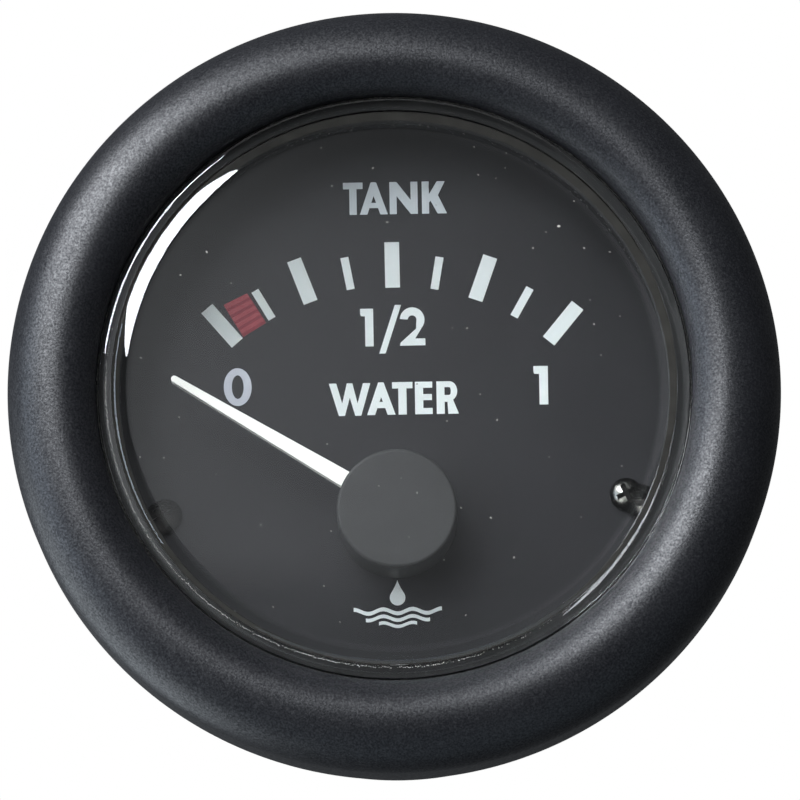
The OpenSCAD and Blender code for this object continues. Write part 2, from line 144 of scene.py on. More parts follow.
def lathe(name, profile, material, body, segments=360, smooth=30.0):
    """A body of revolution about the dial's axis from a closed profile of (r, z) in mm."""
    bm = bmesh.new()
    rings = []
    for r, z in profile:
        if r < 1e-9:
            rings.append([bm.verts.new(P(0, 0, z))])
        else:
            rings.append([bm.verts.new(P(r * math.cos(2 * math.pi * k / segments),
                                         r * math.sin(2 * math.pi * k / segments), z))
                          for k in range(segments)])
    for i in range(len(rings)):
        a, b = rings[i], rings[(i + 1) % len(rings)]
        if len(a) == 1 and len(b) == 1:
            continue
        for k in range(segments):
            m = (k + 1) % segments
            if len(a) == 1:
                bm.faces.new((a[0], b[k], b[m]))
            elif len(b) == 1:
                bm.faces.new((a[k], b[0], a[m]))
            else:
                bm.faces.new((a[k], b[k], b[m], a[m]))
    return new_mesh(name, bm, material, body, smooth)


# ------------------------------------------------------------------ materials
def blank(name):
    m = bpy.data.materials.new(name)
    m.use_nodes = True
    nt = m.node_tree
    nt.nodes.clear()
    out = nt.nodes.new("ShaderNodeOutputMaterial")
    bsdf = nt.nodes.new("ShaderNodeBsdfPrincipled")
    nt.links.new(bsdf.outputs[0], out.inputs[0])
    return m, nt, bsdf, out


def noise(nt, size_mm, detail=2.0, rough=0.5, stretch=None, distortion=0.0):
    """A noise texture whose features are about size_mm, in the part's own space."""
    tc = nt.nodes.new("ShaderNodeTexCoord")
    mp = nt.nodes.new("ShaderNodeMapping")
    s = 1000.0 / size_mm
    sx, sy, sz = stretch or (1, 1, 1)
    mp.inputs["Scale"].default_value = (s * sx, s * sy, s * sz)
    tx = nt.nodes.new("ShaderNodeTexNoise")
    tx.inputs["Scale"].default_value = 1.0
    tx.inputs["Detail"].default_value = detail
    tx.inputs["Roughness"].default_value = rough
    tx.inputs["Distortion"].default_value = distortion
    nt.links.new(tc.outputs["Object"], mp.inputs["Vector"])
    nt.links.new(mp.outputs[0], tx.inputs["Vector"])
    return tx.outputs["Fac"]


def span(nt, value, lo, hi, a=0.3, b=0.7):
    mr = nt.nodes.new("ShaderNodeMapRange")
    mr.inputs["From Min"].default_value = a
    mr.inputs["From Max"].default_value = b
    mr.inputs["To Min"].default_value = lo
    mr.inputs["To Max"].default_value = hi
    nt.links.new(value, mr.inputs["Value"])
    return mr.outputs["Result"]


def mix(nt, fac, c0, c1):
    mx = nt.nodes.new("ShaderNodeMix")
    mx.data_type = "RGBA"
    for sock, val in ((mx.inputs[0], fac), (mx.inputs[6], c0), (mx.inputs[7], c1)):
        if isinstance(val, bpy.types.NodeSocket):
            nt.links.new(val, sock)
        elif isinstance(val, (int, float)):
            sock.default_value = val
        else:
            sock.default_value = (*val, 1.0)
    return mx.outputs[2]


def bump(nt, height, strength, dist_mm, normal=None):
    bp = nt.nodes.new("ShaderNodeBump")
    bp.inputs["Strength"].default_value = strength
    bp.inputs["Distance"].default_value = dist_mm / 1000.0
    nt.links.new(height, bp.inputs["Height"])
    if normal is not None:
        nt.links.new(normal, bp.inputs["Normal"])
    return bp.outputs[0]


def surface(name, dark, light, rough=(0.4, 0.5), metal=0.0, patch_mm=3.0, grain_mm=0.15,
            grain=0.15, grain_depth=0.02, spec=0.5, ior=1.5, fine=None, stretch=None):
    """A plain material: two close colours in soft patches, a grain in bump and gloss."""
    m, nt, b, _ = blank(name)
    patches = noise(nt, patch_mm, 3.0, 0.55)
    small = noise(nt, grain_mm, 2.0, 0.6, stretch)
    colour = mix(nt, span(nt, patches, 0, 1), dark, light)
    if fine:
        colour = mix(nt, span(nt, small, 0, fine[1], 0.45, 0.75), colour, fine[0])
    nt.links.new(colour, b.inputs["Base Color"])
    nt.links.new(span(nt, small, rough[0], rough[1]), b.inputs["Roughness"])
    b.inputs["Metallic"].default_value = metal
    b.inputs["Specular IOR Level"].default_value = spec
    b.inputs["IOR"].default_value = ior
    nt.links.new(bump(nt, small, grain, grain_depth), b.inputs["Normal"])
    return m


def bezel_material():
    """Black moulded ring with a fine spark-eroded texture that glints."""
    m, nt, b, _ = blank("bezel_plastic")
    grain = noise(nt, 0.16, 2.0, 0.6)
    pits = noise(nt, 0.30, 2.0, 0.55)
    broad = noise(nt, 5.0, 2.0, 0.5)
    colour = mix(nt, span(nt, broad, 0, 1), (0.0039, 0.0041, 0.0052), (0.0054, 0.0056, 0.0069))
    colour = mix(nt, span(nt, grain, 0, 0.5, 0.5, 0.8), colour, (0.0125, 0.0132, 0.0155))
    nt.links.new(colour, b.inputs["Base Color"])
    nt.links.new(span(nt, pits, 0.36, 0.50, 0.3, 0.7), b.inputs["Roughness"])
    nt.links.new(span(nt, grain, 0.11, 0.39, 0.32, 0.68), b.inputs["Specular IOR Level"])
    b.inputs["IOR"].default_value = 1.5
    n = bump(nt, pits, 0.34, 0.030)
    n = bump(nt, grain, 0.50, 0.020, n)
    nt.links.new(n, b.inputs["Normal"])
    return m


def lens_material():
    """Clear moulded acrylic. Light on its way to the dial passes straight through."""
    m, nt, b, out = blank("lens_clear")
    b.inputs["Base Color"].default_value = (0.985, 0.99, 0.985, 1)
    b.inputs["Roughness"].default_value = 0.0
    b.inputs["IOR"].default_value = 1.49
    b.inputs["Transmission Weight"].default_value = 1.0
    lp = nt.nodes.new("ShaderNodeLightPath")
    tr = nt.nodes.new("ShaderNodeBsdfTransparent")
    tr.inputs[0].default_value = (0.975, 0.985, 0.98, 1)
    mx = nt.nodes.new("ShaderNodeMixShader")
    nt.links.new(lp.outputs["Is Shadow Ray"], mx.inputs[0])
    nt.links.new(b.outputs[0], mx.inputs[1])
    nt.links.new(tr.outputs[0], mx.inputs[2])
    nt.links.new(mx.outputs[0], out.inputs[0])
    return m


def screw_material():
    """Steel pan heads: lighter on the crown and darker towards the edge; painted shade makes the recess black and
    the left screw black all over.
    """
    m, nt, b, _ = blank("screw_steel")
    tc = nt.nodes.new("ShaderNodeTexCoord")
    xyz = nt.nodes.new("ShaderNodeSeparateXYZ")
    nt.links.new(tc.outputs["Object"], xyz.inputs[0])
    # -y is the height over the panel; the dial's face is at -2.2 mm
    light_higher_up = span(nt, xyz.outputs["Y"], 1.0, 0.0, 0.0013, 0.0016)
    patches = noise(nt, 1.2, 2.0, 0.5)
    bright = mix(nt, span(nt, patches, 0, 1), (0.20, 0.197, 0.180), (0.27, 0.265, 0.245))
    # painted shade: the screw on the left is black all over, for the shade it sits in
    side = nt.nodes.new("ShaderNodeMath")
    side.operation = "MULTIPLY"
    # painted shade: only what faces the front is light, so the recess's walls stay black
    facing = nt.nodes.new("ShaderNodeSeparateXYZ")
    nt.links.new(tc.outputs["Normal"], facing.inputs[0])
    crown = nt.nodes.new("ShaderNodeMath")
    crown.operation = "MULTIPLY"
    nt.links.new(light_higher_up, crown.inputs[0])
    nt.links.new(span(nt, facing.outputs["Y"], 1.0, 0.0, -0.72, -0.50), crown.inputs[1])
    nt.links.new(crown.outputs[0], side.inputs[0])
    nt.links.new(span(nt, xyz.outputs["X"], 0.0, 1.0, -0.001, 0.001), side.inputs[1])
    nt.links.new(mix(nt, side.outputs[0], (0.020, 0.019, 0.018), bright), b.inputs["Base Color"])
    nt.links.new(span(nt, patches, 0.24, 0.30), b.inputs["Roughness"])
    b.inputs["Metallic"].default_value = 1.0
    nt.links.new(bump(nt, noise(nt, 0.35, 2.0, 0.5), 0.05, 0.006), b.inputs["Normal"])
    return m


M = {
    "bezel_plastic": bezel_material(),
    "lens_clear": lens_material(),
    "case_plastic": surface("case_plastic", (0.010, 0.010, 0.011), (0.015, 0.015, 0.017),
                            (0.38, 0.52), grain_mm=0.3, grain=0.25, grain_depth=0.02),
    "rubber": surface("rubber", (0.009, 0.009, 0.009), (0.016, 0.016, 0.016), (0.06, 0.12),
                      grain_mm=0.25, grain=0.06, grain_depth=0.006,
                      fine=((0.05, 0.048, 0.043), 0.35)),
    "shroud_plastic": surface("shroud_plastic", (0.011, 0.011, 0.0115), (0.016, 0.016, 0.0165),
                              (0.20, 0.28), grain_mm=0.3, grain=0.15, grain_depth=0.010, spec=0.10),
    "dial_paint": surface("dial_paint", (0.0121, 0.0118, 0.0132), (0.0138, 0.0135, 0.0151),
                          (0.40, 0.46), patch_mm=6.0, grain_mm=0.12, grain=0.08, grain_depth=0.008,
                          spec=0.03),
    "screw_steel": screw_material(),
    "pointer_white": surface("pointer_white", (0.90, 0.885, 0.84), (0.94, 0.925, 0.885),
                             (0.35, 0.45), patch_mm=2.0, grain_mm=0.12, grain=0.06),
    "cap_plastic": surface("cap_plastic", (0.0156, 0.0156, 0.0162), (0.0205, 0.0205, 0.0212),
                           (0.45, 0.6), grain_mm=0.14, grain=0.4, grain_depth=0.012, spec=0.08),
    "brass": surface("brass", (0.62, 0.46, 0.20), (0.72, 0.56, 0.27), (0.22, 0.36), metal=1.0,
                     patch_mm=1.5, grain_mm=0.12, stretch=(1, 0.2, 1)),
    "shaft_steel": surface("shaft_steel", (0.55, 0.55, 0.56), (0.64, 0.64, 0.65), (0.15, 0.25),
                           metal=1.0, patch_mm=1.0, grain_mm=0.08, stretch=(1, 8, 1)),
    "magnet": surface("magnet", (0.050, 0.050, 0.053), (0.075, 0.075, 0.080), (0.45, 0.6),
                      metal=0.3, patch_mm=1.2, grain_mm=0.1),
    "bobbin_plastic": surface("bobbin_plastic", (0.68, 0.67, 0.60), (0.75, 0.74, 0.67),
                              (0.4, 0.55), patch_mm=3.0, grain_mm=0.25),
    "copper_wire": surface("copper_wire", (0.42, 0.14, 0.055), (0.56, 0.22, 0.09), (0.25, 0.4),
                           metal=0.85, patch_mm=1.5, grain_mm=0.14, grain=0.5, grain_depth=0.05),
    "shield_steel": surface("shield_steel", (0.42, 0.42, 0.43), (0.55, 0.55, 0.56), (0.25, 0.42),
                            metal=1.0, patch_mm=2.5, grain_mm=0.2),
    "bridge_plastic": surface("bridge_plastic", (0.024, 0.024, 0.025), (0.034, 0.034, 0.035),
                              (0.45, 0.6), grain_mm=0.25),
    "board": surface("board", (0.010, 0.085, 0.035), (0.018, 0.12, 0.05), (0.3, 0.45),
                     patch_mm=2.0, grain_mm=0.3, fine=((0.10, 0.20, 0.10), 0.3)),
    "resistor": surface("resistor", (0.66, 0.62, 0.52), (0.76, 0.72, 0.62), (0.5, 0.65),
                        patch_mm=1.0, grain_mm=0.15),
    "zinc": surface("zinc", (0.50, 0.50, 0.49), (0.66, 0.66, 0.64), (0.26, 0.42), metal=1.0,
                    patch_mm=1.2, grain_mm=0.15, grain=0.2),
    "lamp_plastic": surface("lamp_plastic", (0.60, 0.58, 0.50), (0.70, 0.68, 0.60), (0.4, 0.55),
                            patch_mm=2.5, grain_mm=0.25),
    "lamp_glass": surface("lamp_glass", (0.62, 0.66, 0.64), (0.70, 0.74, 0.72), (0.05, 0.12),
                          patch_mm=2.0, grain_mm=0.4, grain=0.03),
}
# painted dark: the flange's wall, so the glass shows no light reflected inside it
EDGE_PAINTED_DARK = surface("lens_edge_painted_dark", (0.022, 0.022, 0.023), (0.034, 0.034, 0.035), (0.5, 0.7), patch_mm=1.5)
# painted shade: a dark band on the back border of the lens, for the flange's shadow
BORDER_PAINTED_SHADE = surface("lens_border_painted_shade", (0.014, 0.0135, 0.0125), (0.022, 0.021, 0.0195), (0.45, 0.6), patch_mm=1.5,
                 spec=0.0)
PRINT = surface("print_white", (0.895, 0.945, 0.962), (0.92, 0.965, 0.975), (0.45, 0.6),
                patch_mm=1.2, grain_mm=0.16, grain=0.12, grain_depth=0.01, spec=0.03)
# print made darker as painted shade: the numeral at the left lies in the rim's shade
PRINT_SHADED_LEFT = surface("print_painted_shade_left", (0.325, 0.336, 0.382), (0.357, 0.368, 0.419), (0.45, 0.6),
                     patch_mm=1.2, grain_mm=0.16, grain=0.12, grain_depth=0.01, spec=0.03)
# print made darker as painted shade: the legend at the top lies in the rim's shade
PRINT_SHADED_TOP = surface("print_painted_shade_top", (0.432, 0.460, 0.493), (0.479, 0.507, 0.544), (0.45, 0.6),
                     patch_mm=1.2, grain_mm=0.16, grain=0.12, grain_depth=0.01, spec=0.03)
RED = surface("print_red", (0.155, 0.029, 0.037), (0.183, 0.040, 0.049), (0.45, 0.6),
              patch_mm=0.5, grain_mm=0.12, grain=0.1, grain_depth=0.01, spec=0.03)
RED_DARK = surface("print_red_dark", (0.102, 0.0125, 0.0195), (0.127, 0.0175, 0.0252), (0.45, 0.6),
                   patch_mm=0.5, grain_mm=0.12, grain=0.1, grain_depth=0.01, spec=0.03)
DUST = surface("dust", (0.12, 0.118, 0.110), (0.24, 0.233, 0.218), (0.8, 0.95),
               patch_mm=2.5, grain_mm=0.05, grain=0.4)
# painted highlight: pale specks that make the thin bright line along the lens's edge
LINT_HIGHLIGHT = surface("lint_painted_highlight", (0.34, 0.335, 0.320), (0.52, 0.510, 0.490), (0.8, 0.95),
               patch_mm=2.5, grain_mm=0.05, grain=0.4)

for part in frame["record"]["subparts"]:
    ob = NODES[part["node"]]
    ob.data.materials.clear()
    ob.data.materials.append(M[part["material_slot"]])

# ------------------------------------------------------------------ turned pieces
# Finer surfaces of revolution than the carried-over ones, with the same profiles.
LENS_TOP = 7.2
SHOULDER_R, SHOULDER_START, SHOULDER_TILT = 2.6, 20.44, 32.5
shoulder = rounded(SHOULDER_START, LENS_TOP - SHOULDER_R, SHOULDER_R, 0, SHOULDER_TILT, 28)
ex, ez = shoulder[-1]
tilt = math.radians(SHOULDER_TILT)
corner = rounded(ex - 0.15 * math.sin(tilt), ez - 0.15 * math.cos(tilt), 0.15, SHOULDER_TILT, 90, 8)
lens_r = corner[-1][0]
# a second, lower rounding at the flange
RIM_R, RIM_C, RIM_TILT = 0.80, (22.42, 5.62), 30.0
rim = rounded(RIM_C[0], RIM_C[1], RIM_R, 0, RIM_TILT, 14)
rx, rz = rim[-1]
tilt_2 = math.radians(RIM_TILT)
rim += rounded(rx - 0.06 * math.sin(tilt_2), rz - 0.06 * math.cos(tilt_2), 0.06, RIM_TILT, 90, 5)[1:]
rim_r = rim[-1][0]
lens_profile = [(0, LENS_TOP)] + shoulder + corner[1:] + [(lens_r, RIM_C[1] + RIM_R)] + rim + [
    (rim_r, 5.4), (25.4, 5.4), (25.4, 4.2), (21.7, 4.2), (21.6, 4.3), (21.6, 5.0), (21.12, 5.0), (0, 5.0)]
lens = lathe("clear_lens", lens_profile, M["lens_clear"], HOUSING)
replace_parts(lens, "lens")
# the ground edge of the flange, painted dark so the glass shows no light reflected inside it there, and a painted
# shade on the border of the recess behind
lens.data.materials.append(EDGE_PAINTED_DARK)
lens.data.materials.append(BORDER_PAINTED_SHADE)
for face in lens.data.polygons:
    c, n = face.center * 1000.0, face.normal
    r = math.hypot(c.x, c.z)
    # painted dark: the wall faces of the flange
    if r > rim_r - 0.02 and abs(n.y) < 0.5:
        face.material_index = 1
    # painted shade on the back border of the recess
    elif 21.13 < r < 21.61 and 4.2 < -c.y < 5.01:
        face.material_index = 2

seal_in = rim_r + 0.06
seal_profile = [(seal_in, 5.4), (25.4, 5.4), (25.4, 6.0), (23.085, 6.0)] + rounded(
    seal_in + 0.09, 6.0, 0.09, 80, -90, 8)
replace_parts(lathe("rubber_seal", seal_profile, M["rubber"], HOUSING), "lens_seal")

# the shroud's upper edge stands in the recess under the lens: a rounded inner edge, a
# groove and a narrow outer rib
inner_edge = rounded(21.18, 4.65, 0.20, 0, -90, 12)
shroud_profile = ([(24.3, -2.2), (24.3, 4.15), (21.5, 4.15), (21.5, 4.72)]
                  + rounded(21.40, 4.72, 0.10, 90, -90, 8)
                  + [(21.30, 4.5), (21.24, 4.5), (21.22, 4.85)] + inner_edge
                  + [(20.98, 3.6), (23.55, 2.9), (23.55, -2.2)])
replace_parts(lathe("stepped_shroud", shroud_profile, M["shroud_plastic"], HOUSING),
            "inner_shroud")

# the bezel: a tight round towards the lens that eases into a wide one outside
CREST_R, CREST_Z = 25.95, 9.0


def bezel_top():
    """Points of the ring's face from the lip to its widest place, with an eased crest."""
    pts = []
    x, z, t = 0.0, 0.0, 0.0
    step = math.radians(0.75)
    right, left = [(0.0, 0.0)], []
    while t < math.pi / 2:                      # outwards from the crest
        r = 4.05 + (3.5 - 4.05) * max(0.0, 1 - t / math.radians(22)) ** 2
        x, z, t = x + r * step * math.cos(t + step / 2), z - r * step * math.sin(t + step / 2), t + step
        right.append((x, z))
    x, z, t = 0.0, 0.0, 0.0
    while x > -2.85:                            # inwards from the crest
        r = 3.0 + (3.5 - 3.0) * max(0.0, 1 - t / math.radians(22)) ** 2
        x, z, t = x - r * step * math.cos(t + step / 2), z - r * step * math.sin(t + step / 2), t + step
        left.append((x, z))
    kx, kz = 4.05 / right[-1][0], 4.05 / -right[-1][1]
    pts = [(CREST_R + max(a, -2.85), CREST_Z + b) for a, b in reversed(left)]
    return pts + [(CREST_R + a * kx, CREST_Z + b * kz) for a, b in right]


ring_profile = ([(23.1, 6.0)] + bezel_top() + [(30.0, 0.9)] + rounded(29.5, 0.9, 0.5, 90, 180, 8)[1:]
                + [(28.8, 0.4), (28.8, 0.5), (28.45, 0.7), (28.8, 0.9), (28.8, 2.45), (28.4, 2.45), (28.4, 6.1)]
                + rounded(27.8, 6.1, 0.6, 90, -90, 12)[1:-1]
                + [(27.2, 6.1), (27.2, 2.45), (26.0, 2.45), (26.0, 5.5), (25.6, 5.5), (25.6, 6.0)])
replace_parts(lathe("moulded_bezel", ring_profile, M["bezel_plastic"], HOUSING), "bezel")

# ------------------------------------------------------------------ threaded rods
PITCH, DEPTH = 0.7, 0.40            # M4


def tooth(p):
    """Depth of the thread over one turn, 0 on the crest and 1 in the root."""
    p = abs((p % 1.0) - 0.5) * 2
    return min(max((p - 0.16) / 0.62, 0.0), 1.0)


def rod(bm, cx, cy, rows, cols=40):
    """One closed rod along z; rows are (z, radius, share of the thread, square)."""
    rings = []
    for z, r, cut, square in rows:
        ring = []
        for k in range(cols):
            a = 2 * math.pi * k / cols
            rr = r - cut * DEPTH * tooth(z / PITCH - k / cols)
            if square:
                rr = r / max(abs(math.cos(a)), abs(math.sin(a)))
            ring.append(bm.verts.new(P(cx + rr * math.cos(a), cy + rr * math.sin(a), z)))
        rings.append(ring)
    for a, b in zip(rings, rings[1:]):
        for k in range(cols):
            m = (k + 1) % cols
            bm.faces.new((a[k], a[m], b[m], b[k]))
    bm.faces.new(rings[0])
    bm.faces.new(rings[-1])


def thread_rows(z0, z1, r=2.0, per_turn=6):
    """Rows of a thread from the free end z0, with a chamfer there, up to z1."""
    n = int((z1 - z0) / PITCH * per_turn)
    rows = []
    for i in range(n + 1):
        z = z0 + (z1 - z0) * i / n
        taper = max(0.0, 0.5 - (z - z0))
        cut = min(max((z - z0 - 0.15) / 0.5, 0.0), max((z1 - z) / 0.7, 0.0), 1.0)
        rows.append((z, r - taper, cut * (1 - taper), False))
    return rows


SLOT_OF = {part["node"]: part["material_slot"] for part in frame["record"]["subparts"]}


def rods(name, node, places, rows, smooth):
    bm = bmesh.new()
    for x, y in places:
        rod(bm, x, y, rows)
    ob = new_mesh(name, bm, M[SLOT_OF[node]], HOUSING, smooth)
    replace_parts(ob, node)


terminal = thread_rows(-46.0, -31.1) + [(-31.0, 2.0, 0, False), (-31.0, 3.0, 0, True),
                                        (-29.6, 3.0, 0, True), (-29.6, 2.0, 0, False), (-23.4, 2.0, 0, False)]
rods("threaded_supply", "terminal_supply", [(-10.0, -8.0)], terminal, 32.0)
rods("threaded_sender", "terminal_sender", [(10.0, -8.0)], terminal, 32.0)
rods("threaded_ground", "terminal_ground", [(0.0, -16.0)], terminal, 32.0)
rods("threaded_studs", "mounting_studs", [(-18.0, 0.0), (18.0, 0.0)],
     thread_rows(-54.0, -34.05) + [(-34.0, 2.0, 0, False), (-34.0, 2.6, 0, False), (-31.0, 2.6, 0, False),
                                   (-31.0, 4.0, 0, False), (-29.8, 4.0, 0, False)], 32.0)

# ------------------------------------------------------------------ the print
FACE = -2.2                         # front of the dial, mm
INK = 0.02                          # thickness of the ink


def bar(cx, cy, ang, length, width):
    """A rectangle about (cx, cy), its length turned ang degrees clockwise from the top."""
    a = math.radians(ang)
    lx, ly = math.sin(a), math.cos(a)
    wx, wy = ly, -lx
    return [(cx + lx * i * length / 2 + wx * j * width / 2,
             cy + ly * i * length / 2 + wy * j * width / 2)
            for i, j in ((-1, -1), (1, -1), (1, 1), (-1, 1))]


PIVOT = (0.0, -9.3)
majors = [(-40, 222.6, 325.9), (-20, 302.6, 281.4), (0, 392.2, 265.2), (20, 482.6, 278.4),
          (40, 562.7, 323.3)]
minors = [(-30, 263.9, 305.0), (-10, 347.7, 273.8), (10, 436.9, 273.4), (30, 521.7, 302.5)]
marks = []
for a, u, v in majors:
    x, y = on_plane(u, v, FACE)
    marks.append(bar(x, y, a, 3.68, 1.16))
for a, u, v in minors:
    x, y = on_plane(u, v, FACE)
    marks.append(bar(x, y, a, 2.64, 0.64))
filled("scale_marks", marks, FACE, FACE + INK, PRINT)


def zone(corners, t0, t1):
    """A strip of the four-cornered zone (outer left, outer right, inner right, inner left)."""
    a, b, c, d = corners
    lerp = lambda p, q, t: (p[0] + (q[0] - p[0]) * t, p[1] + (q[1] - p[1]) * t)
    return [lerp(a, d, t0), lerp(b, c, t0), lerp(b, c, t1), lerp(a, d, t1)]


low = [on_plane(u, v, FACE) for u, v in ((224.0, 305.2), (247.6, 293.6), (266.6, 323.0),
                                         (243.8, 337.0))]
filled("low_zone", [zone(low, 0.0, 1.0)], FACE, FACE + INK * 0.6, RED)
filled("low_zone_lines", [zone(low, t, t + 0.085) for t in (0.13, 0.325, 0.52, 0.715, 0.91)],
       FACE + INK * 0.6, FACE + INK * 0.9, RED_DARK)


# Plain stroke letters and numerals. Each is given in its own box: x 0..w, y 0..h (down).
def arc(cx, cy, rx, ry, a0, a1, n=24):
    return [(cx + rx * math.cos(math.radians(a0 + (a1 - a0) * k / n)),
             cy + ry * math.sin(math.radians(a0 + (a1 - a0) * k / n))) for k in range(n + 1)]


def letter_t(w, h, s, b):
    m = w / 2
    return [[(0, 0), (w, 0), (w, b), (m + s / 2, b), (m + s / 2, h), (m - s / 2, h),
             (m - s / 2, b), (0, b)]]


def letter_a(w, h, s, b, apex, bar_y):
    m = w / 2
    # inner edges run parallel to the outer ones, s apart along x
    k = (m - apex / 2) / h                     # outward run of an outer edge per unit down
    inner = lambda y: apex / 2 + k * y - s     # half width inside the legs
    y_top = (s - apex / 2) / k
    return [[(m - apex / 2, 0), (m + apex / 2, 0), (w, h), (w - s, h), (m + inner(bar_y + b), bar_y + b),
             (m - inner(bar_y + b), bar_y + b), (s, h), (0, h)],
            [(m, y_top), (m + inner(bar_y), bar_y), (m - inner(bar_y), bar_y)]]


def letter_n(w, h, s):
    d = 1.32 * s
    return [[(0, h), (0, 0), (s, 0), (w - s, h - h * d / w * 1.32), (w - s, 0), (w, 0), (w, h), (w - s, h),
             (s, h * d / w * 1.32), (s, h)]]


def letter_k(w, h, s):
    d = 1.30 * s
    return [[(0, 0), (s, 0), (s, 0.40 * h), (w - d - 0.02 * w, 0), (w - 0.07 * w, 0),
             (s + 0.36 * w, 0.43 * h), (w, h), (w - d, h), (s + 0.06 * w, 0.60 * h), (s, 0.66 * h),
             (s, h), (0, h)]]


def letter_w(w, h, s):
    e = s * 0.5
    return [[(0, 0), (s, 0), (0.315 * w, h * 0.62), (0.5 * w - e * 0.75, 0), (0.5 * w + e * 0.75, 0),
             (0.685 * w, h * 0.62), (w - s, 0), (w, 0), (0.705 * w + e * 0.72, h), (0.705 * w - e * 0.9, h),
             (0.5 * w, h * 0.44), (0.295 * w + e * 0.9, h), (0.295 * w - e * 0.72, h)]]


def letter_e(w, h, s, b):
    m = h * 0.475
    return [[(0, 0), (w, 0), (w, b), (s, b), (s, m - b / 2), (w * 0.97, m - b / 2), (w * 0.97, m + b / 2),
             (s, m + b / 2), (s, h - b), (w, h - b), (w, h), (0, h)]]


def letter_r(w, h, s, b):
    bowl = 0.60 * h                            # lower edge of the bowl
    ry, rx = bowl / 2, 0.36 * w
    cx, cy = w * 0.94 - rx, bowl / 2
    ri_y = ry - b * 0.92
    outer = [(0, 0)] + arc(cx, cy, rx, ry, -90, 62, 20)
    outer += [(w, h), (w - 1.32 * s, h), (s + 0.13 * w, bowl + 0.03 * h), (s, bowl + 0.03 * h), (s, h), (0, h)]
    inner = [(s, cy - ri_y)] + arc(cx, cy, max(rx - s * 0.80, 0.6), ri_y, -90, 90, 16) + [(s, cy + ri_y)]
    return [outer, inner]


def digit_0(w, h, s, b):
    return [arc(w / 2, h / 2, w / 2, h / 2, 0, 360, 64)[:-1],
            arc(w / 2, h / 2, w / 2 - s, h / 2 - b, 0, 360, 64)[:-1]]


def digit_1(w, h, s, f):
    return [[(0.4, 0), (w, 0), (w, h), (w - s, h), (w - s, f), (0.8, f * 0.96), (0, f * 0.72), (0, 0.4)]]


def digit_2(w, h, s):
    r = w * 0.49
    cx, cy = w * 0.49, r
    outer = arc(cx, cy, r, r, -176, 28, 30)
    outer += [(w * 0.60, h - s * 0.86 - 0.0), (w, h - s * 0.86), (w, h), (0, h), (w * 0.015, h - s * 0.35)]
    inner = arc(cx, cy, r - s, r - s, 22, -176, 26)
    return [outer + [(w * 0.64, h * 0.56)] + inner]


def slash(w, h, s):
    return [[(w - s, 0), (w, 0), (s, h), (0, h)]]


def put(loops, u0, v0):
    return [[(u0 + x, v0 + y) for x, y in lp] for lp in loops]


def word(name, parts, centre, tilt=1.0, material=None):
    """Sets outlines that are laid out in pixels of the view on the dial's face."""
    t = math.radians(tilt)
    loops = []
    for glyph in parts:
        for lp in glyph:
            out = []
            for u, v in lp:
                du, dv = u - centre[0], v - centre[1]
                out.append(on_plane(centre[0] + du * math.cos(t) + dv * math.sin(t),
                                    centre[1] - du * math.sin(t) + dv * math.cos(t), FACE))
            loops.append(out)
    return filled(name, loops, FACE, FACE + INK, material or PRINT)


word("legend_upper", [
    put(letter_t(19.6, 32.0, 7.2, 6.4), 343.3, 182.6),
    put(letter_a(27.8, 32.0, 7.4, 5.2, 5.4, 20.4), 359.8, 182.6),
    put(letter_n(28.0, 32.0, 7.0), 389.6, 182.6),
    put(letter_k(24.8, 32.0, 7.1), 421.8, 182.6),
], (395, 198.6), material=PRINT_SHADED_TOP)
word("numeral_half", [
    put(digit_1(13.0, 37.6, 8.3, 7.6), 360.5, 308.5),
    put(slash(22.6, 48.2, 6.3), 378.9, 305.2),
    put(digit_2(25.2, 38.0, 8.0), 399.9, 307.9),
], (393, 328))
word("legend_lower", [
    put(letter_w(41.4, 32.4, 7.4), 329.3, 382.6),
    put(letter_a(28.4, 32.4, 7.9, 6.2, 5.4, 19.4), 367.0, 382.2),
    put(letter_t(20.4, 32.4, 8.2, 6.3), 392.3, 382.2),
    put(letter_e(17.4, 32.4, 8.2, 6.1), 415.0, 382.2),
    put(letter_r(22.0, 32.4, 8.0, 6.3), 436.5, 382.2),
], (394, 398.4))
word("numeral_zero", [put(digit_0(27.8, 37.6, 8.0, 7.0), 224.3, 368.3)], (238, 387), material=PRINT_SHADED_LEFT)
word("numeral_one", [put(digit_1(14.4, 38.4, 8.8, 7.9), 533.3, 366.0)], (540.5, 385))


def drop(cx, cy, r, h):
    """A water drop: round below, pointed above."""
    pts = arc(cx, cy, r, r, -28, 208, 32)
    a = math.radians(-28)
    ex, ey = r * math.cos(a), r * math.sin(a)
    tip = cy - h
    right_side = [(cx + ex * (1 - t) ** 1.25, cy + ey + (tip - cy - ey) * t) for t in (0.82, 0.62, 0.4, 0.2)]
    left_side = [(2 * cx - x, y) for x, y in reversed(right_side)]
    return [(cx, tip)] + right_side + pts + left_side


def wave(cx, half, v, amp, length, thick):
    """A wavy band about cx, with a trough there."""
    steps = 64
    top = [(cx + half * (2 * k / steps - 1),
            v + amp * math.cos(2 * math.pi * half * (2 * k / steps - 1) / length))
           for k in range(steps + 1)]
    return top + [(x, y + thick) for x, y in reversed(top)]


word("water_sign", [
    [drop(398.0, 597.0, 7.8, 17.5)],
    [wave(398.0, 44.0, 608.6, 2.1, 29.3, 3.9)],
    [wave(398.0, 32.0, 615.6, 2.0, 29.3, 3.6)],
    [wave(398.0, 19.0, 622.2, 1.9, 29.3, 3.3)],
], (398, 618))

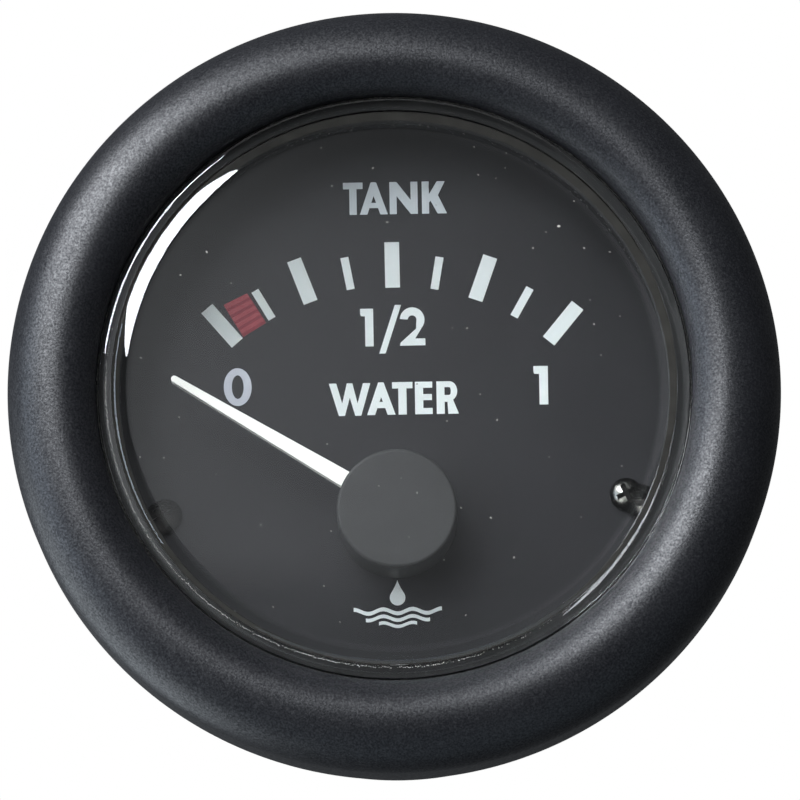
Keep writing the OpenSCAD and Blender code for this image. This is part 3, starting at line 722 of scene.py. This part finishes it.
# ------------------------------------------------------------------ dust, and a painted highlight
def specks(name, places, seed, body, material, z_of, where=on_plane):
    rng = random.Random(seed)
    bm = bmesh.new()
    for u, v, size in places:
        z = z_of(u, v)
        x, y = where(u, v, z)
        r = size / 2 / 12.7 * 0.85
        c = P(x, y, z)
        made = bmesh.ops.create_icosphere(bm, subdivisions=1, radius=r / 1000.0)
        turn = Matrix.Rotation(rng.uniform(0, 6.28), 3, "Y")
        for vert in made["verts"]:
            q = vert.co * (1 + rng.uniform(-0.45, 0.45))
            q = Vector((q.x * rng.uniform(0.7, 1.35), q.y * 0.3, q.z * 0.8))
            vert.co = c + turn @ q
    return new_mesh(name, bm, material, body)


DIAL_DUST = [(461, 508, 2.6), (491, 518, 3.6), (514, 557, 3.0), (466, 615, 2.4), (444, 560, 2.0),
             (447, 421, 2.0), (497, 420, 2.4), (480, 394, 1.8), (549, 457, 1.8), (622, 466, 1.8),
             (581, 517, 1.6), (140, 457, 2.4), (164, 458, 2.0), (216, 474, 1.8), (179, 417, 2.4),
             (160, 509, 2.0), (331, 531, 2.4), (261, 525, 2.0), (273, 607, 2.0), (376, 327, 1.8),
             (452, 328, 1.8), (467, 328, 3.2), (478, 175, 3.2), (505, 168, 2.2), (496, 178, 2.0),
             (506, 153, 1.8), (474, 147, 2.0), (533, 248, 3.0), (559, 226, 3.6), (584, 248, 3.2),
             (610, 252, 2.8), (546, 232, 2.2), (574, 201, 2.0), (620, 316, 2.0), (594, 324, 2.2),
             (601, 355, 1.8), (207, 252, 3.0), (181, 275, 3.2), (321, 148, 2.2), (332, 186, 2.0),
             (373, 168, 3.2), (387, 222, 3.0), (417, 384, 1.8), (340, 622, 2.0), (231, 283, 2.0),
             (436, 205, 1.8), (590, 300, 1.8), (324, 586, 1.8), (327, 444, 2.2), (141, 358, 2.0)]
specks("dust_on_lens", DIAL_DUST + [(379, 486, 2.2), (401, 478, 1.6), (417, 493, 2.4), (409, 537, 1.8)],
       5, HOUSING, DUST, lambda u, v: LENS_TOP)


def ledge_painted_highlight():
    """Pale specks in the corner where the raised part of the lens stands on its flange: a painted highlight for the
    thin bright line along the lens's edge.
    """
    rng = random.Random(23)
    places = []
    angle = 166.0
    while angle < 342.0:
        # thickest at the lower left, and thinner towards the right
        full = min(1.0, (angle - 160) / 20, max(0.25, (300 - angle) / 25))
        if rng.random() < 0.9 * full:
            r = lens_r + 0.40 - 0.28 * min(1.0, max(0.0, (angle - 205) / 55)) + rng.gauss(0, 0.035)
            a = math.radians(angle)
            places.append((r * math.cos(a), r * math.sin(a), rng.uniform(0.9, 1.5) * (0.75 + 0.25 * full)))
        angle += rng.uniform(0.18, 0.42)
    return places


# painted highlight along the edge of the lens
specks("painted_highlight_on_ledge", ledge_painted_highlight(), 7, HOUSING, LINT_HIGHLIGHT, lambda x, y: RIM_C[1] + RIM_R, where=lambda x, y, z: (x, y))

# ------------------------------------------------------------------ stage
floor_bm = bmesh.new()
bmesh.ops.create_grid(floor_bm, x_segments=1, y_segments=1, size=4.0)
floor_me = bpy.data.meshes.new("floor")
floor_bm.to_mesh(floor_me)
floor_bm.free()
floor = link(bpy.data.objects.new("floor", floor_me))
floor.location = (0, 0, -0.45)
fm, fnt, fb, _ = blank("floor")
fb.inputs["Base Color"].default_value = (0.86, 0.86, 0.86, 1)
fb.inputs["Roughness"].default_value = 0.8
fb.inputs["Emission Color"].default_value = (1, 1, 1, 1)
fb.inputs["Emission Strength"].default_value = 0.55
floor_me.materials.append(fm)
floor.visible_diffuse = False
floor.visible_glossy = False
floor.visible_transmission = True
floor.visible_shadow = False

world = bpy.data.worlds.new("studio")
bpy.context.scene.world = world
world.use_nodes = True
wnt = world.node_tree
wnt.nodes.clear()
w_out = wnt.nodes.new("ShaderNodeOutputWorld")
w_lp = wnt.nodes.new("ShaderNodeLightPath")
w_seen = wnt.nodes.new("ShaderNodeBackground")
w_seen.inputs[0].default_value = (1, 1, 1, 1)
w_seen.inputs[1].default_value = 1.0
w_fill = wnt.nodes.new("ShaderNodeBackground")
w_fill.inputs[0].default_value = (0.92, 0.96, 1.0, 1)
w_fill.inputs[1].default_value = 0.13
# a pale card above and to the left of the camera, which the lens shows as a soft haze
w_dir = wnt.nodes.new("ShaderNodeTexCoord")
w_xyz = wnt.nodes.new("ShaderNodeSeparateXYZ")
wnt.links.new(w_dir.outputs["Generated"], w_xyz.inputs[0])


def w_ramp(axis, a, b, lo, hi):
    mr = wnt.nodes.new("ShaderNodeMapRange")
    for key, val in (("From Min", a), ("From Max", b), ("To Min", lo), ("To Max", hi)):
        mr.inputs[key].default_value = val
    wnt.links.new(w_xyz.outputs[axis], mr.inputs["Value"])
    return mr.outputs["Result"]


def w_times(a, b, op="MULTIPLY"):
    mt = wnt.nodes.new("ShaderNodeMath")
    mt.operation = op
    for sock, val in zip(mt.inputs, (a, b)):
        if isinstance(val, bpy.types.NodeSocket):
            wnt.links.new(val, sock)
        else:
            sock.default_value = val
    return mt.outputs[0]


card = w_times(w_ramp("X", -0.052, 0.045, 0.56, 0.0), w_ramp("X", -0.30, -0.20, 0.0, 1.0))
card = w_times(card, w_ramp("Z", 0.1465, 0.1570, 0.0, 1.0))
card = w_times(card, w_ramp("Z", 0.228, 0.250, 1.0, 0.25))
card = w_times(card, w_ramp("Z", 0.32, 0.38, 1.0, 0.0))
card = w_times(card, w_ramp("Y", -0.90, -0.80, 1.0, 0.0))
wnt.links.new(w_times(card, 0.13, "ADD"), w_fill.inputs[1])
w_mix = wnt.nodes.new("ShaderNodeMixShader")
wnt.links.new(w_lp.outputs["Is Camera Ray"], w_mix.inputs[0])
wnt.links.new(w_fill.outputs[0], w_mix.inputs[1])
wnt.links.new(w_seen.outputs[0], w_mix.inputs[2])
wnt.links.new(w_mix.outputs[0], w_out.inputs[0])


def softbox(name, direction, distance, size, radiance, colour=(1, 1, 1), along=None,
            shape="RECTANGLE", diffuse=True, glossy=True):
    """A soft lamp. direction and along (its width) are in the dial's frame; radiance is what it shows."""
    turn = lambda w: Vector((w[0], -w[2], w[1]))
    d = turn(direction).normalized()
    x = turn(along or (1, 0, 0))
    x = (x - d * x.dot(d)).normalized()
    data = bpy.data.lights.new(name, "AREA")
    data.shape = shape
    data.size, data.size_y = size
    data.color = colour
    area = size[0] * size[1] * (math.pi / 4 if shape == "ELLIPSE" else 1.0)
    data.energy = radiance * 4.0 * area
    ob = link(bpy.data.objects.new(name, data))
    ob.matrix_world = Matrix.Translation(d * distance) @ Matrix((x, d.cross(x), d)).transposed().to_4x4()
    ob.visible_camera = False
    ob.visible_diffuse, ob.visible_glossy, ob.visible_transmission = diffuse, glossy, glossy
    # a lamp that no mirror shows is found by shadow rays alone, which pass the lens in full
    data.cycles.use_multiple_importance_sampling = glossy
    return ob


KEY = (-0.55, 0.52, 0.65)
softbox("key_light", KEY, 0.9, (1.5, 1.5), 6.6, (0.95, 0.98, 1.0), glossy=False)
softbox("window", (-0.525, 0.515, 0.68), 0.9, (1.02, 0.376), 26.0, (0.92, 0.955, 1.0), along=(-0.52, 0.31, -0.70),
        shape="ELLIPSE", diffuse=False)
softbox("low_left", (-0.82, -0.50, -0.20), 0.9, (0.9, 0.9), 3.5, (0.85, 0.93, 1.0))
softbox("side_sky", (-0.93, 0.02, 0.36), 0.9, (0.5, 0.7), 4.4, (0.72, 0.84, 1.0), diffuse=False)
softbox("bounce", (0.12, -0.90, 0.30), 1.0, (1.6, 1.2), 0.40, (0.66, 0.84, 1.0))

scene = bpy.context.scene
scene.view_settings.view_transform = "Standard"
scene.view_settings.look = "None"
scene.view_settings.exposure = 0.0
scene.view_settings.gamma = 1.0
# Lamps reach what is under the lens as straight shadow rays, so they are not let in twice.
scene.cycles.caustics_refractive = False
scene.cycles.caustics_reflective = False
